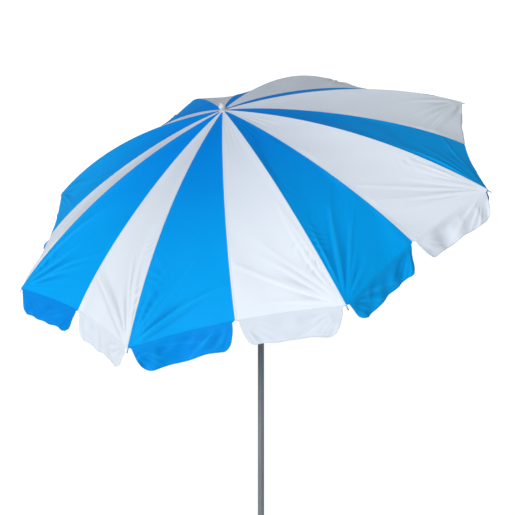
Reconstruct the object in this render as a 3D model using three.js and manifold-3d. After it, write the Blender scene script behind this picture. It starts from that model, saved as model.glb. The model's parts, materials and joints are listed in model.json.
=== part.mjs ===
// Beach umbrella with eight ribs, sixteen cover gores and a tilting, telescopic pole.
// Millimetres, +Z up. The origin is the flat tip of the ground spike, on the axis of the lower pole.
// The cover stands open and leans: the crown frame below has its own +Z along the upper pole and its
// origin at the top of the cover, and each rib is drawn in a frame of its own, with x outwards along the
// rib, y across it and z along the upper pole.

import * as THREE from 'three';
import { mergeVertices } from 'three/addons/utils/BufferGeometryUtils.js';
import Module from 'manifold-3d';

const wasm = await Module();
wasm.setup();

// ---- driving dimensions ----

const gap = 0.3;                 // between pieces that touch or slide
const ribCount = 8;
const firstRib = -164.83;        // direction of the first rib, degrees about the upper pole
const lean = 35.58;              // of the upper pole from upright, degrees
const leanDirection = -117.43;   // where the upper pole leans to, degrees about +Z

const spread = 950;              // radius of the cover at the rib corners
const drop = 359;                // rib corners below the top of the cover
const bow = 66.5;                // rise of a rib above the straight line from the top to its corner
const hollow = 0.04;             // share by which the cover's edge curves in half way between two ribs
const sag = 20;                  // of the cover between two ribs, half way out
const clothThickness = 1;
const valanceDepth = 88;
const valanceNotch = 22;         // width of the notch between two valance flaps at a seam
const valanceTaper = 30;         // each side of a flap draws in by this much at its hem
const clothHole = 6;             // radius of the hole at the top of the cover

const ribRadius = 2;
const ribToCloth = 0.8;
const ribTipLength = 17;
const ribTipRadius = 3;
const eyeRadius = 3.5;
const bladeThickness = 4;        // of an eye that lies in a slot
const wireRadius = 1;
const clipDrop = 7;              // strut pivot below the middle of the rib

const strutReach = 221;          // of the strut's upper end from the upper pole's axis
const strutRadius = 1.75;

const poleRadius = 11;           // middle and upper poles
const poleWall = 1.2;

const crownRim = 7;              // outside the crown wire
const crownDrop = 7;             // top of the crown below the top of the cover
const crownHeight = 25;
const crownPlate = 4;            // thickness of the plate over the pole's end
const crownWall = 2;             // round the upper pole, inside the slots
const crownPivotDrop = 14;       // below the top of the cover

const runnerDepth = 175.4;       // runner wire below the top of the cover, with the cover open
const runnerRim = 6;             // outside the runner wire
const runnerFlange = 12;
const runnerSleeve = 32;
const runnerSleeveWall = 4.2;

const catchHeight = 32;
const catchReach = 4.5;          // how far the catch stands out of the pole
const catchThickness = 3.4;
const catchDirection = 7.67;     // degrees about the upper pole

const finialRadius = 13;
const finialNeck = 8;            // radius of the ball's foot
const finialKnob = 6;            // radius of the small knob on the ball
const finialKnobHeight = 4.5;
const studRadius = 4;
const washerRadius = 17;
const washerThickness = 1.5;

const tiltHeight = 1500;         // tilt axis above the tip of the spike
const tiltToTop = 532;           // tilt axis to the top of the cover
const tongueThickness = 10;
const cheekThickness = 5;
const tongueRadius = 12;
const cheekRadius = 13;
const socketWall = 3.7;
const forkSocketHeight = 32;
const tongueSocketHeight = 22;
const pinRadius = 4;
const pinHeadRadius = 8;
const pinHeadThickness = 3;
const lockDiscThickness = 8;
const buttonRadius = 5;
const buttonStandOut = 3;
const buttonPocket = 6;

const lowerPoleTop = 1110;
const middlePoleBottom = 850;
const collarWall = 5.2;
const collarGrip = 40;           // length of the collar round the lower pole
const collarLip = 10;            // its length above the lower pole
const screwDirection = 60;       // degrees about +Z
const screwRadius = 3;
const screwDrop = 18;            // screw axis below the top of the lower pole
const bossRadius = 7;
const bossLength = 9;            // out of the collar
const wingSpan = 34;
const wingHeight = 13;
const wingThickness = 4;
const hubLength = 9;
const hubRadius = 6.5;

const spikeLength = 120;
const spikeTip = 3;
const spigotLength = 30;

// ---- colours and surfaces ----

const paint = (color, roughness, metalness) => new THREE.MeshStandardMaterial({ color, roughness, metalness });
const blueCloth = () => paint(0x0088e8, 0.6, 0);
const whiteCloth = () => paint(0xe9edf6, 0.6, 0);
const greyPaint = () => paint(0x757b7f, 0.45, 0.3);
const darkPlastic = () => paint(0x2f3337, 0.55, 0);
const whitePlastic = () => paint(0xe2e4e6, 0.25, 0);
const steel = () => paint(0xb4b8bc, 0.35, 0.9);

// ---- shape helpers ----

const radians = THREE.MathUtils.degToRad;

// Makes a solid of a closed geometry, without the slivers that a point on an axis leaves.
function solid(geometry) {
  const bare = new THREE.BufferGeometry();
  bare.setAttribute('position', geometry.getAttribute('position'));
  bare.setIndex(geometry.getIndex());
  const merged = mergeVertices(bare, 1e-4);
  const corners = [];
  const index = merged.getIndex();
  for (let i = 0; i < index.count; i += 3) {
    const face = [index.getX(i), index.getX(i + 1), index.getX(i + 2)];
    if (new Set(face).size === 3) corners.push(...face);
  }
  return new wasm.Manifold(new wasm.Mesh({
    numProp: 3,
    vertProperties: new Float32Array(merged.getAttribute('position').array),
    triVerts: new Uint32Array(corners),
  }));
}

function geometryOf(shape) {
  const cut = shape.getMesh();
  const geometry = new THREE.BufferGeometry();
  geometry.setAttribute('position', new THREE.BufferAttribute(cut.vertProperties, 3));
  geometry.setIndex(new THREE.BufferAttribute(cut.triVerts, 1));
  return geometry;
}

// Turns an outline of [radius, height] points, taken anticlockwise, about the z axis.
function turned(outline, sides = 32) {
  const points = outline.map(([radius, height]) => new THREE.Vector2(radius, height));
  return new THREE.LatheGeometry(points, sides).rotateX(Math.PI / 2);
}

function tube(inner, outer, bottom, top, sides = 32) {
  return turned([[inner, bottom], [outer, bottom], [outer, top], [inner, top], [inner, bottom]], sides);
}

function rod(radius, bottom, top, sides = 32) {
  return new THREE.CylinderGeometry(radius, radius, top - bottom, sides)
    .rotateX(Math.PI / 2)
    .translate(0, 0, (bottom + top) / 2);
}

function block(low, high) {
  const size = high.map((value, axis) => value - low[axis]);
  return new THREE.BoxGeometry(...size).translate(...high.map((value, axis) => (value + low[axis]) / 2));
}

// A disc whose axis is y, for eyes and ears that turn in a rib's plane.
function disc(radius, thickness, x, z, sides = 10) {
  return new THREE.CylinderGeometry(radius, radius, thickness, sides).translate(x, 0, z);
}

// A round rod that follows points in the x-z plane.
function bentRod(points, radius, sides = 6) {
  const geometry = new THREE.CylinderGeometry(radius, radius, 1, sides, points.length - 1);
  const position = geometry.getAttribute('position');
  for (let i = 0; i < position.count; i += 1) {
    const at = Math.round((position.getY(i) + 0.5) * (points.length - 1));
    const along = points[Math.min(at + 1, points.length - 1)].clone().sub(points[Math.max(at - 1, 0)]).normalize();
    const across = position.getX(i);
    const inPlane = position.getZ(i);
    position.setXYZ(i, points[at].x + along.y * inPlane, across, points[at].y - along.x * inPlane);
  }
  return geometry;
}

function piece(name, shape, material) {
  const geometry = shape instanceof THREE.BufferGeometry ? shape : geometryOf(shape);
  const mesh = new THREE.Mesh(geometry, material);
  mesh.name = name;
  return mesh;
}

// ---- frames ----

const umbrella = new THREE.Group();
const leanAxis = new THREE.Vector3(-Math.sin(radians(leanDirection)), Math.cos(radians(leanDirection)), 0);
const leanTurn = new THREE.Quaternion().setFromAxisAngle(leanAxis, radians(lean));

const upperFrame = new THREE.Group();        // origin on the tilt axis, z along the upper pole
upperFrame.position.z = tiltHeight;
upperFrame.quaternion.copy(leanTurn);
const crownFrame = new THREE.Group();        // the same, with its origin at the top of the cover
crownFrame.position.z = tiltToTop;
upperFrame.add(crownFrame);
umbrella.add(upperFrame);

// ---- the curve of a rib and of the cover ----

const chord = Math.hypot(spread, drop);
const halfPanel = Math.PI / ribCount;
const rowCount = 8;

// Point and outward normal of the cover's top over a rib, at a share of the way from the top to the corner.
function ridge(share) {
  const rise = 4 * bow * share * (1 - share);
  const riseRate = 4 * bow * (1 - 2 * share);
  const point = new THREE.Vector2(
    spread * share + rise * drop / chord,
    -drop * share + rise * spread / chord,
  );
  const normal = new THREE.Vector2(
    drop - riseRate * spread / chord,
    spread + riseRate * drop / chord,
  ).normalize();
  return { point, normal };
}

// The share at which the cover over a rib has a given radius.
function shareAt(radius) {
  const lift = 4 * bow * drop / chord;
  const slope = spread + lift;
  return 2 * radius / (slope + Math.sqrt(slope * slope - 4 * lift * radius));
}

const firstShare = shareAt(clothHole);
const shareOfRow = (row) => firstShare + (1 - firstShare) * row / rowCount;

// Top of the cover in a rib's frame, at an angle from the rib; the cloth is taut from rib to rib.
function coverPoint(share, angle) {
  const { point } = ridge(share);
  const part = Math.abs(angle) / halfPanel;
  const slack = part * (2 - part);
  const taut = Math.cos(halfPanel) / Math.cos(halfPanel - Math.abs(angle));
  const radius = point.x * taut * (1 - hollow * share * slack);
  const height = point.y - sag * slack * (4 * share * (1 - share)) ** 1.5;
  return new THREE.Vector3(radius * Math.cos(angle), radius * Math.sin(angle), height);
}

// ---- one gore with its valance flap ----

const flapRows = [2, 0.55 * valanceDepth, valanceDepth];   // distances below the edge
const goreColumns = 4;
const flapInsets = [0.05, 0.35, 1].map((share) => valanceNotch / 2 + valanceTaper * share);

// side is +1 for the gore that follows the rib and -1 for the one before it.
function gore(side, ribAzimuth) {
  const rows = rowCount + flapRows.length;
  const low = side > 0 ? 0 : -halfPanel;
  const high = low + halfPanel;
  const down = new THREE.Vector3(0, 0, -1)
    .applyQuaternion(leanTurn.clone().invert())
    .applyAxisAngle(new THREE.Vector3(0, 0, 1), -ribAzimuth);
  const edge = coverPoint(1, high).sub(coverPoint(1, low)).normalize();
  const fall = down.clone().addScaledVector(edge, -down.dot(edge)).normalize();
  const flapNormal = fall.clone().cross(edge);

  const geometry = new THREE.BoxGeometry(1, 1, 1, goreColumns, rows, 1);
  const position = geometry.getAttribute('position');
  for (let i = 0; i < position.count; i += 1) {
    const across = 0.5 - position.getX(i);            // 0 at the low angle, 1 at the high one
    const row = Math.round((position.getY(i) + 0.5) * rows);
    const depth = 0.5 - position.getZ(i);             // 0 on the outer face, 1 on the inner
    const onRoof = Math.min(row, rowCount);
    const share = shareOfRow(onRoof);
    const angle = low + across * halfPanel;
    const point = coverPoint(share, angle);
    const { normal } = ridge(share);
    const outward = new THREE.Vector3(normal.x * Math.cos(angle), normal.x * Math.sin(angle), normal.y);
    const acrossSeam = new THREE.Vector3(-Math.sin(angle), Math.cos(angle), 0);
    if (row <= rowCount) {
      point.addScaledVector(acrossSeam, (across === 0 ? gap / 2 : 0) - (across === 1 ? gap / 2 : 0));
      if (row === rowCount) outward.add(flapNormal);
      outward.addScaledVector(acrossSeam, -outward.dot(acrossSeam)).normalize();
    } else {
      const flapRow = row - rowCount - 1;
      const below = flapRows[flapRow];
      point.addScaledVector(fall, below);
      point.addScaledVector(edge, flapInsets[flapRow] * (1 - 2 * across));
      outward.copy(flapNormal);
    }
    point.addScaledVector(outward, -clothThickness * depth);
    position.setXYZ(i, point.x, point.y, point.z);
  }
  return geometry;
}

// ---- ribs and struts, in a rib's frame ----

const bore = poleRadius + gap;                              // of what slides on or takes a pole
const crownPivotRadius = bore + crownWall + gap + eyeRadius;
const crownRadius = crownPivotRadius + crownRim;
const crownPivot = new THREE.Vector2(crownPivotRadius, -crownPivotDrop);
const ribDepth = clothThickness + ribToCloth + ribRadius;   // middle of the rib under the cover's top

function ribMiddle(share) {
  const { point, normal } = ridge(share);
  return point.clone().addScaledVector(normal, -ribDepth);
}

const strutShare = shareAt(strutReach);
const strutTop = ribMiddle(strutShare).addScaledVector(ridge(strutShare).normal, -clipDrop);
const runnerPivotRadius = bore + runnerSleeveWall + eyeRadius;
const runnerPivot = new THREE.Vector2(runnerPivotRadius, -runnerDepth);
const cornerTangent = new THREE.Vector2(ridge(1).normal.y, -ridge(1).normal.x);
const ribEnd = ribMiddle(1).addScaledVector(cornerTangent, 1);

function ribShape() {
  const line = [crownPivot.clone()];
  for (let row = 1; row <= rowCount; row += 1) line.push(ribMiddle(shareOfRow(row)));
  line.splice(1, 0, ribMiddle(shareAt(crownRadius * 2)));
  line.push(ribEnd);
  const eyeHole = wireRadius + 0.5;
  const earThickness = 1.4;
  const earWidth = bladeThickness + 2 * gap + 2 * earThickness;
  const { normal } = ridge(strutShare);
  const middle = ribMiddle(strutShare);
  const earBlock = new THREE.BoxGeometry(2 * eyeRadius, earWidth, clipDrop)
    .translate(0, 0, -clipDrop / 2)
    .rotateY(Math.atan2(normal.x, normal.y))
    .translate(middle.x, 0, middle.y);
  const between = new THREE.BoxGeometry(6 * eyeRadius, bladeThickness + 2 * gap, clipDrop * 3)
    .translate(0, 0, -clipDrop * 1.5 - ribRadius - gap)
    .rotateY(Math.atan2(normal.x, normal.y))
    .translate(middle.x, 0, middle.y);
  const clip = solid(earBlock)
    .add(solid(disc(eyeRadius, earWidth, strutTop.x, strutTop.y)))
    .subtract(solid(between))
    .add(solid(disc(wireRadius, earWidth, strutTop.x, strutTop.y, 8)));
  return solid(bentRod(line, ribRadius))
    .add(solid(disc(eyeRadius, bladeThickness, crownPivot.x, crownPivot.y)))
    .subtract(solid(disc(eyeHole, 2 * bladeThickness, crownPivot.x, crownPivot.y)))
    .add(clip);
}

function ribTipShape() {
  const length = ribTipLength;
  const cap = turned([
    [0, 0], [ribTipRadius * 0.8, 0], [ribTipRadius, 2], [ribTipRadius * 0.8, length * 0.6],
    [ribTipRadius, length - 4], [ribTipRadius * 0.8, length - 1], [0, length],
  ], 8);
  const start = ribEnd.clone().addScaledVector(cornerTangent, gap);
  return cap.rotateY(Math.atan2(cornerTangent.x, cornerTangent.y)).translate(start.x, 0, start.y);
}

function strutShape() {
  const along = runnerPivot.clone().sub(strutTop).normalize();
  const lowerEnd = runnerPivot.clone().addScaledVector(along, -(wireRadius + 0.5));
  const middle = lowerEnd.clone().addScaledVector(along, -eyeRadius * 2);
  const flat = new THREE.BoxGeometry(eyeRadius * 4, bladeThickness, 2 * eyeRadius)
    .rotateY(-Math.atan2(along.y, along.x))
    .translate(middle.x, 0, middle.y);
  return solid(bentRod([strutTop.clone(), middle], strutRadius))
    .add(solid(disc(eyeRadius, bladeThickness, strutTop.x, strutTop.y)))
    .add(solid(flat))
    .subtract(solid(disc(wireRadius + gap, 2 * bladeThickness, strutTop.x, strutTop.y)));
}

// A hub with a slot for every rib or strut and a groove, open at the top, for the wire they hang on.
function slotted(hub, pivotRadius, pivotHeight, top, bottom, innerWall, outer) {
  const groove = tube(pivotRadius - wireRadius - gap, pivotRadius + wireRadius + gap,
    pivotHeight - wireRadius - gap, top + 1);
  let shape = solid(hub).subtract(solid(groove));
  for (let rib = 0; rib < ribCount; rib += 1) {
    const slot = block([innerWall, -bladeThickness / 2 - gap, bottom - 1], [outer + 1, bladeThickness / 2 + gap, top + 1])
      .rotateZ(radians(firstRib) + 2 * halfPanel * rib);
    shape = shape.subtract(solid(slot));
  }
  return shape;
}

const wire = (pivotRadius, height) => new THREE.TorusGeometry(pivotRadius, wireRadius, 5, 32).translate(0, 0, height);

for (let rib = 0; rib < ribCount; rib += 1) {
  const azimuth = radians(firstRib) + 2 * halfPanel * rib;
  const ribFrame = new THREE.Group();
  ribFrame.rotation.z = azimuth;
  ribFrame.add(
    piece(`rib_${rib + 1}`, ribShape(), steel()),
    piece(`rib_tip_${rib + 1}`, ribTipShape(), steel()),
    piece(`strut_${rib + 1}`, strutShape(), steel()),
    piece(`gore_blue_${rib + 1}`, gore(1, azimuth), blueCloth()),
    piece(`gore_white_${rib + 1}`, gore(-1, azimuth), whiteCloth()),
  );
  crownFrame.add(ribFrame);
}

// ---- crown, its wire, the washer and the finial ----

const crownTop = -crownDrop;
const crownBottom = crownTop - crownHeight;
const crownBody = turned([
  [studRadius + gap, crownTop - crownPlate], [bore, crownTop - crownPlate], [bore, crownBottom],
  [crownRadius, crownBottom], [crownRadius, crownTop], [studRadius + gap, crownTop],
  [studRadius + gap, crownTop - crownPlate],
]);
crownFrame.add(
  piece('crown', slotted(crownBody, crownPivotRadius, -crownPivotDrop, crownTop, crownBottom, bore + crownWall,
    crownRadius),
    whitePlastic()),
  piece('crown_wire', wire(crownPivotRadius, -crownPivotDrop), steel()),
);

const topSlope = -ridge(0).normal.x / ridge(0).normal.y;   // of the cover at its top
const washerInner = studRadius + gap;
const washer = turned([
  [washerInner, topSlope * washerInner + gap],
  [washerRadius, topSlope * washerRadius + gap],
  [washerRadius, topSlope * washerRadius + gap + washerThickness],
  [washerInner, topSlope * washerInner + gap + washerThickness],
  [washerInner, topSlope * washerInner + gap],
], 24);
const finialFoot = gap * 2 + washerThickness;
const finialCollar = 2;
const ballStart = -Math.acos(finialNeck / finialRadius);
const ballEnd = Math.acos(finialKnob / finialRadius);
const finialCentre = finialFoot + finialCollar - finialRadius * Math.sin(ballStart);
const finialOutline = [[0, crownTop - crownPlate + gap], [studRadius, crownTop - crownPlate + gap],
  [studRadius, finialFoot], [finialNeck + 1.5, finialFoot], [finialNeck + 1.5, finialFoot + finialCollar]];
const ballSteps = 8;
for (let step = 0; step <= ballSteps; step += 1) {
  const angle = ballStart + (ballEnd - ballStart) * step / ballSteps;
  finialOutline.push([finialRadius * Math.cos(angle), finialCentre + finialRadius * Math.sin(angle)]);
}
const knobFoot = finialCentre + finialRadius * Math.sin(ballEnd);
finialOutline.push([finialKnob, knobFoot + finialKnobHeight - 2], [finialKnob - 2, knobFoot + finialKnobHeight],
  [0, knobFoot + finialKnobHeight]);
crownFrame.add(
  piece('top_washer', washer, whitePlastic()),
  piece('finial', turned(finialOutline, 24), whitePlastic()),
);

// ---- runner, its wire and its catch ----

const flangeTop = runnerPivot.y + runnerFlange / 2;
const flangeBottom = runnerPivot.y - runnerFlange / 2;
const runnerBottom = flangeBottom - runnerSleeve;
const sleeve = bore + runnerSleeveWall;
const runnerRadius = runnerPivotRadius + runnerRim;
const runnerBody = turned([
  [bore, runnerBottom], [sleeve, runnerBottom], [sleeve, flangeBottom], [runnerRadius, flangeBottom],
  [runnerRadius, flangeTop], [bore, flangeTop], [bore, runnerBottom],
]);
crownFrame.add(
  piece('runner', slotted(runnerBody, runnerPivotRadius, runnerPivot.y, flangeTop, flangeBottom, sleeve + 0.2,
    runnerRadius), whitePlastic()),
  piece('runner_wire', wire(runnerPivotRadius, runnerPivot.y), steel()),
);

const catchTop = runnerBottom - gap;
const catchFoot = poleRadius - poleWall - 2 * gap;          // outer face of the catch inside the pole
const catchBack = catchFoot - 3.7;
const catchOutline = new THREE.Shape([
  [catchBack, catchTop - catchHeight], [catchFoot, catchTop - catchHeight],
  [catchFoot, catchTop - catchHeight + 4], [poleRadius + catchReach, catchTop - 6],
  [poleRadius + catchReach, catchTop - 2], [poleRadius, catchTop], [catchBack, catchTop],
].map(([radius, height]) => new THREE.Vector2(radius, height)));
const catchPlate = new THREE.ExtrudeGeometry(catchOutline, { depth: catchThickness, bevelEnabled: false })
  .translate(0, 0, -catchThickness / 2)
  .rotateX(Math.PI / 2)
  .rotateZ(radians(catchDirection));
crownFrame.add(piece('runner_catch', catchPlate, steel()));

// ---- upper pole, with the slot for the catch ----

const tongueSocketBottom = cheekRadius + 3 + cheekThickness;
const tongueSocketTop = tongueSocketBottom + tongueSocketHeight;
const slotHalfWidth = catchThickness / 2 + gap;
const catchSlot = block(
  [0, -slotHalfWidth, catchTop - catchHeight + 3],
  [poleRadius + 1, slotHalfWidth, catchTop + 2],
).rotateZ(radians(catchDirection));
const poleTop = crownTop - crownPlate - gap;
const poleBottom = tongueSocketBottom + gap - tiltToTop;
const upperPole = solid(tube(poleRadius - poleWall, poleRadius, poleBottom, poleTop)).subtract(solid(catchSlot));
crownFrame.add(piece('upper_pole', upperPole, greyPaint()));

// ---- tilt joint: tongue, fork, pin with its lock disc, and button ----

// A plate in the plane across the tilt axis: round about the axis, with straight sides up to a height.
function plate(radius, thickness, middle, height) {
  const outline = new THREE.Shape();
  outline.absarc(0, 0, radius, Math.PI, 2 * Math.PI, false);
  outline.lineTo(radius, height);
  outline.lineTo(-radius, height);
  return new THREE.ExtrudeGeometry(outline, { depth: thickness, bevelEnabled: false, curveSegments: 12 })
    .translate(0, 0, middle - thickness / 2)
    .rotateY(Math.PI / 2)
    .rotateX(Math.PI / 2);
}

const tiltFrame = (shape) => shape.rotateZ(Math.atan2(leanAxis.y, leanAxis.x));
const pinHole = () => new THREE.CylinderGeometry(pinRadius + gap, pinRadius + gap, 60, 24).rotateZ(Math.PI / 2);

const socketRadius = bore + socketWall;
const tongueRoot = cheekRadius + 3;
const tongueBlock = solid(tiltFrame(plate(tongueRadius, tongueThickness, 0, tongueRoot + 1)))
  .add(solid(rod(socketRadius, tongueRoot, tongueSocketTop)))
  .subtract(solid(rod(bore, tongueSocketBottom, tongueSocketTop + 1)))
  .subtract(solid(tiltFrame(pinHole())));
upperFrame.add(piece('tilt_tongue', tongueBlock, darkPlastic()));

const forkFloor = -cheekRadius;
const forkBottom = forkFloor - forkSocketHeight;
const forkPlate = 6;                                        // over the middle pole's end
const cheekMiddle = tongueThickness / 2 + gap + cheekThickness / 2;
const cheek = (side) => tiltFrame(plate(cheekRadius, cheekThickness, side * cheekMiddle, -forkFloor + 1).rotateX(Math.PI));
const forkBlock = solid(rod(socketRadius, forkBottom, forkFloor))
  .subtract(solid(rod(bore, forkBottom - 1, forkFloor - forkPlate)))
  .add(solid(cheek(1)))
  .add(solid(cheek(-1)))
  .subtract(solid(tiltFrame(pinHole())));
const fork = piece('tilt_fork', forkBlock, darkPlastic());
fork.position.z = tiltHeight;
umbrella.add(fork);

const cheekOuter = cheekMiddle + cheekThickness / 2 + gap;
const discEnd = cheekOuter + lockDiscThickness;
const pin = turned([
  [0, -cheekOuter - pinHeadThickness], [pinHeadRadius, -cheekOuter - pinHeadThickness], [pinHeadRadius, -cheekOuter],
  [pinRadius, -cheekOuter], [pinRadius, cheekOuter], [pinHeadRadius + 1, cheekOuter], [pinHeadRadius + 1, discEnd],
  [buttonRadius + gap, discEnd], [buttonRadius + gap, discEnd - buttonPocket], [0, discEnd - buttonPocket],
], 24);
const button = turned([
  [0, discEnd - buttonPocket + buttonStandOut + gap], [buttonRadius, discEnd - buttonPocket + buttonStandOut + gap],
  [buttonRadius, discEnd + buttonStandOut - 1], [buttonRadius - 1, discEnd + buttonStandOut],
  [0, discEnd + buttonStandOut],
], 24);
upperFrame.add(
  piece('tilt_pin', tiltFrame(pin.rotateY(Math.PI / 2)), steel()),
  piece('tilt_button', tiltFrame(button.rotateY(Math.PI / 2)), darkPlastic()),
);

// ---- middle and lower poles, clamp collar, thumb screw and ground spike ----

const middlePoleTop = tiltHeight + forkFloor - forkPlate - gap;
umbrella.add(piece('middle_pole', tube(poleRadius - poleWall, poleRadius, middlePoleBottom, middlePoleTop), greyPaint()));

const lowerPoleRadius = bore + poleWall;
const collarRadius = lowerPoleRadius + gap + collarWall;
const bossReach = collarRadius + bossLength;                // outer end of the boss from the pole's axis
const screwHeight = lowerPoleTop - screwDrop;
const towardsScrew = (shape) => shape.rotateY(Math.PI / 2).rotateZ(radians(screwDirection)).translate(0, 0, screwHeight);
const lowerPole = solid(tube(lowerPoleRadius - poleWall, lowerPoleRadius, spikeLength + gap, lowerPoleTop))
  .subtract(solid(towardsScrew(rod(screwRadius + gap, 0, lowerPoleRadius + 2, 16))));
umbrella.add(piece('lower_pole', lowerPole, greyPaint()));

const collarBottom = lowerPoleTop - collarGrip;
const collarTop = lowerPoleTop + collarLip;
const collarShape = solid(rod(collarRadius, collarBottom, collarTop))
  .add(solid(towardsScrew(rod(bossRadius, 0, bossReach, 20))))
  .subtract(solid(rod(lowerPoleRadius + gap, collarBottom - 1, lowerPoleTop + gap)))
  .subtract(solid(rod(bore, collarBottom, collarTop + 1)))
  .subtract(solid(towardsScrew(rod(screwRadius + gap, 0, bossReach + 1, 16))));
umbrella.add(piece('clamp_collar', collarShape, darkPlastic()));

const screwTip = poleRadius + gap;
const hubStart = bossReach + 1.5;
const wings = new THREE.Shape();
wings.moveTo(-hubRadius, 0);
wings.lineTo(hubRadius, 0);
wings.quadraticCurveTo(wingSpan / 2, 0, wingSpan / 2, wingHeight);
wings.quadraticCurveTo(hubRadius + 1, wingHeight + 1, hubRadius - 1, hubLength);
wings.lineTo(-hubRadius + 1, hubLength);
wings.quadraticCurveTo(-hubRadius - 1, wingHeight + 1, -wingSpan / 2, wingHeight);
wings.quadraticCurveTo(-wingSpan / 2, 0, -hubRadius, 0);
const wingPlate = new THREE.ExtrudeGeometry(wings, { depth: wingThickness, bevelEnabled: false, curveSegments: 5 })
  .translate(0, 0, -wingThickness / 2)
  .rotateX(Math.PI / 2)
  .translate(0, 0, hubStart);
const thumbScrew = solid(rod(screwRadius, screwTip, hubStart + 1, 16))
  .add(solid(rod(hubRadius, hubStart, hubStart + hubLength, 20)))
  .add(solid(wingPlate));
umbrella.add(piece('thumb_screw', solid(towardsScrew(geometryOf(thumbScrew))), darkPlastic()));

const spigotRadius = lowerPoleRadius - poleWall - gap;
umbrella.add(piece('ground_spike', turned([
  [0, 0], [spikeTip, 0], [lowerPoleRadius, spikeLength * 0.8], [lowerPoleRadius, spikeLength],
  [spigotRadius, spikeLength], [spigotRadius, spikeLength + spigotLength], [0, spikeLength + spigotLength],
], 24), darkPlastic()));

export default umbrella;
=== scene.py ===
import json
import math

import bmesh
import bpy
import numpy as np
from mathutils import Matrix, Vector


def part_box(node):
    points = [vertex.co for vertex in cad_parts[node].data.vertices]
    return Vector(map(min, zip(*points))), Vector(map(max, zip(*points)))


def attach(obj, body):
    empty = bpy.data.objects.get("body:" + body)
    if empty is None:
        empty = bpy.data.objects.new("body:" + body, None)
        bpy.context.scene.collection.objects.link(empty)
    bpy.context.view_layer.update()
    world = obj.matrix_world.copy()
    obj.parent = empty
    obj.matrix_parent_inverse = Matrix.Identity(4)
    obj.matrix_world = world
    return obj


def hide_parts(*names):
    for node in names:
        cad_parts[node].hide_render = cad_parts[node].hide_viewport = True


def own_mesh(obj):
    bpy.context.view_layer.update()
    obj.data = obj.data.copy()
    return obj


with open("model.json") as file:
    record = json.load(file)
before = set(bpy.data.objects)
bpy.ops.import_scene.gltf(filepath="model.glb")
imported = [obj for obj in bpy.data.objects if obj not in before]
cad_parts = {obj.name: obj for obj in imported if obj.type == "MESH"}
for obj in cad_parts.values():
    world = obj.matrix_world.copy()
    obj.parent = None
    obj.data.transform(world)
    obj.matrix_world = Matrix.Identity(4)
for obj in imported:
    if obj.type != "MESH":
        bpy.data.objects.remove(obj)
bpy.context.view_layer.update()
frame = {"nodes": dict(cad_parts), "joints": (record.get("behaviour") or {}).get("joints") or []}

# ---- camera ----
# A short telephoto lens, held level a little below the cover and four metres
# in front of the pole.
camera = bpy.data.cameras.new("camera")
camera.lens = 69.58
camera.sensor_width = 36.0
camera_stand = bpy.data.objects.new("camera", camera)
camera_stand.location = (-0.0138, -3.997, 1.3817)
camera_stand.rotation_euler = (math.radians(90), 0, 0)
bpy.context.scene.collection.objects.link(camera_stand)
bpy.context.scene.camera = camera_stand
bpy.context.scene.view_settings.view_transform = "Standard"

# ---- studio floor, backdrop and lights ----
# A pale painted floor runs back to a white cove. The cove is only a backdrop:
# the light comes from a wide lamp, low on the left in front, and from the air.


class Socket:
    """One socket of a finish. A sum on it adds its Math node to that finish."""

    tree = None

    def __init__(self, socket):
        self.socket = socket

    @classmethod
    def node(cls, kind, settings=(), inputs=(), out=0):
        made = cls.tree.nodes.new("ShaderNode" + kind)
        for name, value in dict(settings).items():
            setattr(made, name, value)
        for name, value in dict(inputs).items():
            if isinstance(value, cls):
                cls.tree.links.new(value.socket, made.inputs[name])
            else:
                made.inputs[name].default_value = value
        return cls(made.outputs[out]) if made.outputs else None

    def sum(self, operation, first, second=0.0):
        return self.node("Math", {"operation": operation}, {0: first, 1: second})

    def __add__(self, other):
        return self.sum("ADD", self, other)

    def __radd__(self, other):
        return self.sum("ADD", other, self)

    def __sub__(self, other):
        return self.sum("SUBTRACT", self, other)

    def __rsub__(self, other):
        return self.sum("SUBTRACT", other, self)

    def __mul__(self, other):
        return self.sum("MULTIPLY", self, other)

    def __rmul__(self, other):
        return self.sum("MULTIPLY", other, self)

    def __abs__(self):
        return self.sum("ABSOLUTE", self)

    def waves(self, pitch):
        """A sine of this measure, one wave to each pitch."""
        return self.sum("SINE", self * (2 * math.pi / pitch))

    def held(self, low, high):
        """0 below low, 1 above high, and smooth between."""
        return self.node(
            "MapRange",
            {"interpolation_type": "SMOOTHSTEP"},
            {"Value": self, "From Min": low, "From Max": high},
        )


def new_finish(name):
    """An empty finish. The sockets made after this belong to it."""
    finish = bpy.data.materials.new(name)
    finish.use_nodes = True
    finish.node_tree.nodes.clear()
    Socket.tree = finish.node_tree
    return finish


def mixed(factor, first, second):
    """Two colours through a Mix node."""
    return Socket.node("Mix", {"data_type": "RGBA"}, {0: factor, 6: first, 7: second}, out=2)


def lit_finish(name, colour, strength, grey):
    """A surface that glows a little by itself, so that no corner of it goes dark."""
    finish = new_finish(name)
    patches = Socket.node("TexNoise", {}, {"Scale": 0.6, "Detail": 3.0})
    shader = Socket.node(
        "BsdfPrincipled",
        {},
        {
            "Base Color": mixed(patches, (grey, grey, grey, 1), (grey * 0.97, grey * 0.97, grey * 0.98, 1)),
            "Roughness": 0.9,
            "Specular IOR Level": 0.0,
            "Emission Color": colour,
            "Emission Strength": strength,
        },
    )
    clear = Socket.node("BsdfTransparent")
    back = Socket.node("NewGeometry", out="Backfacing")
    one_sided = Socket.node("MixShader", {}, {0: back, 1: shader, 2: clear})
    Socket.node("OutputMaterial", {}, {"Surface": one_sided})
    return finish


def set_on_stage(shape, name, finish):
    """Stands a finished shape in the studio, apart from the umbrella."""
    mesh = bpy.data.meshes.new(name)
    shape.to_mesh(mesh)
    shape.free()
    mesh.materials.append(finish)
    stood = bpy.data.objects.new(name, mesh)
    bpy.context.scene.collection.objects.link(stood)
    stood.visible_diffuse = False
    stood.visible_glossy = False
    return stood


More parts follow.
